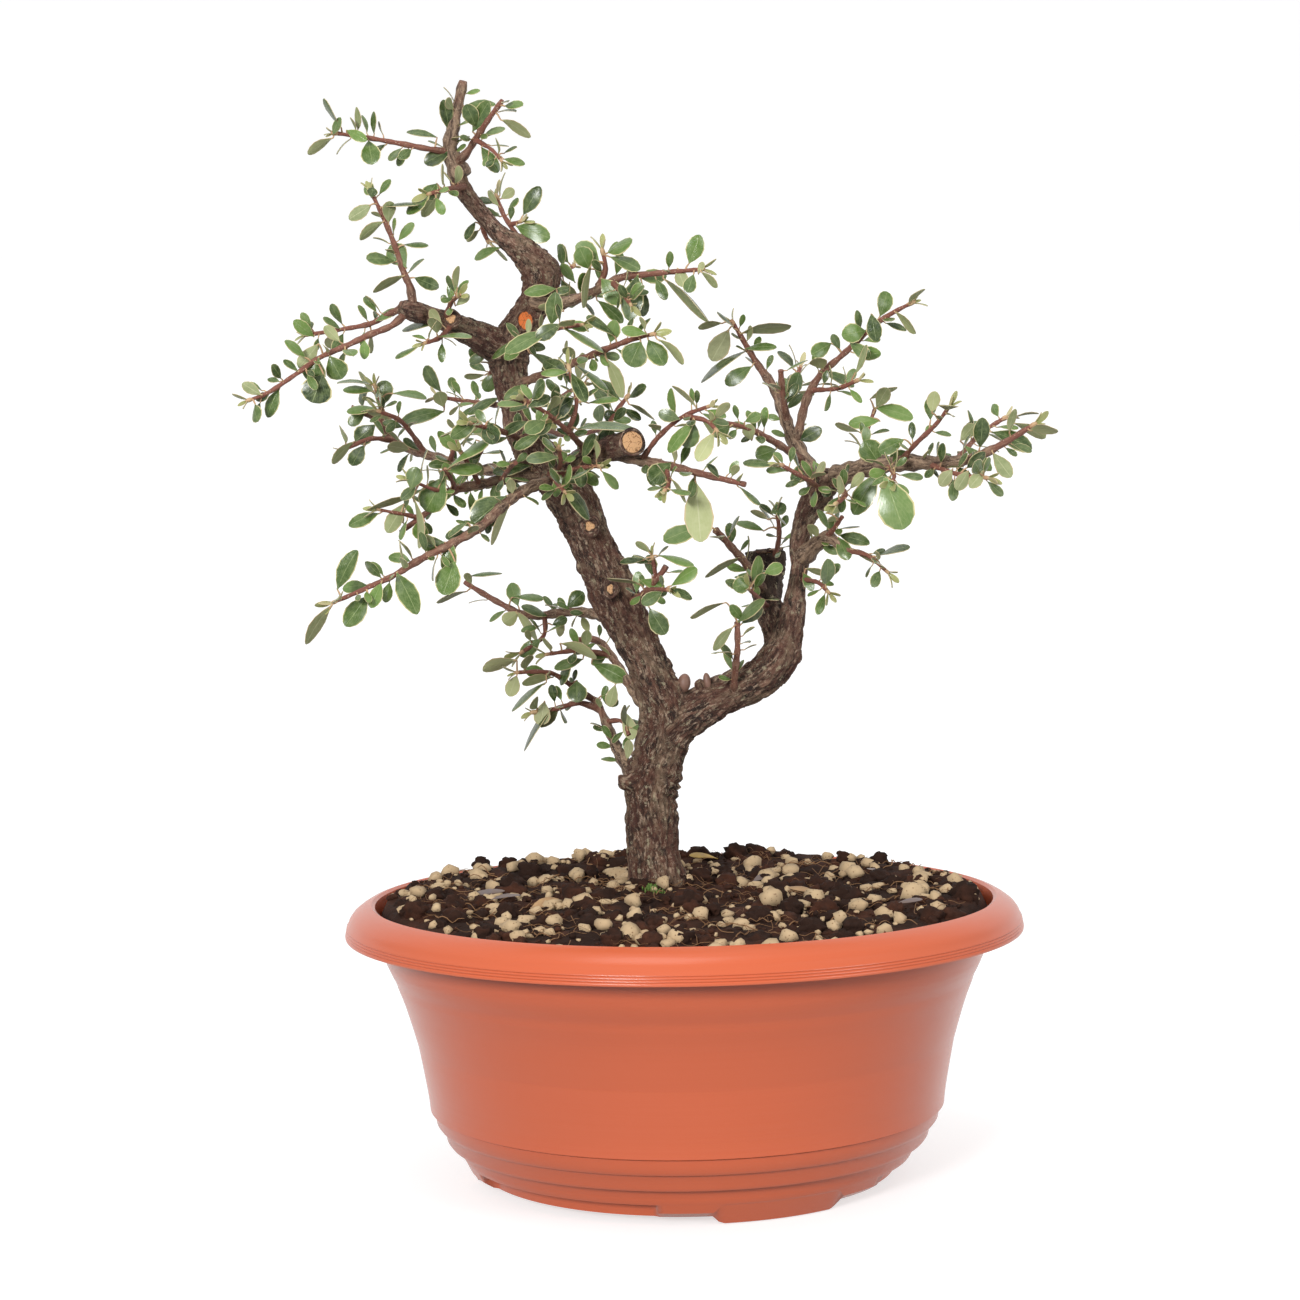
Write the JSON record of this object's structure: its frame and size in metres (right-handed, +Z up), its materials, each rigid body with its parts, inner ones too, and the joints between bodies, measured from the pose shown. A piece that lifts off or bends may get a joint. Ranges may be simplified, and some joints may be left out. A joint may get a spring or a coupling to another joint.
{
  "type": "bearberry cotoneaster bonsai in a pot",
  "caption": "Small tree with a forked trunk and leafy sprays, in soil in a round flared pot with a rolled rim and low feet.",
  "frame": {"origin": "middle of the bounding box at the level of the surface that the pot's feet stand on", "axes": "+Z up along the height, +X to the right and +Y away from the front, which is the side with the long low branch"},
  "size_m": [0.3392, 0.2998, 0.4836],
  "materials": {
    "terracotta_plastic": "satin",
    "potting_soil": "matte",
    "bark": "matte",
    "foliage": "satin"
  },
  "bodies": {
    "root": {"pot": "terracotta_plastic", "soil": "potting_soil", "trunk_and_limbs": "bark", "apex_spray": "foliage", "neck_spray": "foliage", "shoulder_spray": "foliage", "shoulder_left_spray": "foliage", "left_limb_upright_spray": "foliage", "left_limb_high_spray": "foliage", "left_limb_long_spray": "foliage", "left_limb_front_spray": "foliage", "left_limb_low_spray": "foliage", "left_limb_back_spray": "foliage", "upper_right_spray": "foliage", "upper_back_spray": "foliage", "crossing_spray": "foliage", "front_upper_spray": "foliage", "middle_right_spray": "foliage", "middle_front_spray": "foliage", "middle_up_spray": "foliage", "middle_left_spray": "foliage", "middle_back_spray": "foliage", "trunk_back_left_spray": "foliage", "trunk_low_spray": "foliage", "back_left_branch": "foliage", "dark_left_branch": "foliage", "long_low_branch": "foliage", "low_left_branch": "foliage", "behind_left_branch": "foliage", "back_low_branch": "foliage", "inner_spray": "foliage", "right_branch": "foliage", "right_high_branch": "foliage", "right_front_spray": "foliage", "right_low_spray": "foliage", "right_twig": "foliage", "red_shoot": "foliage", "upright_twig": "foliage", "stub_top_spray": "foliage", "stub_front_spray": "foliage", "right_limb_spray": "foliage"}
  },
  "joints": []
}
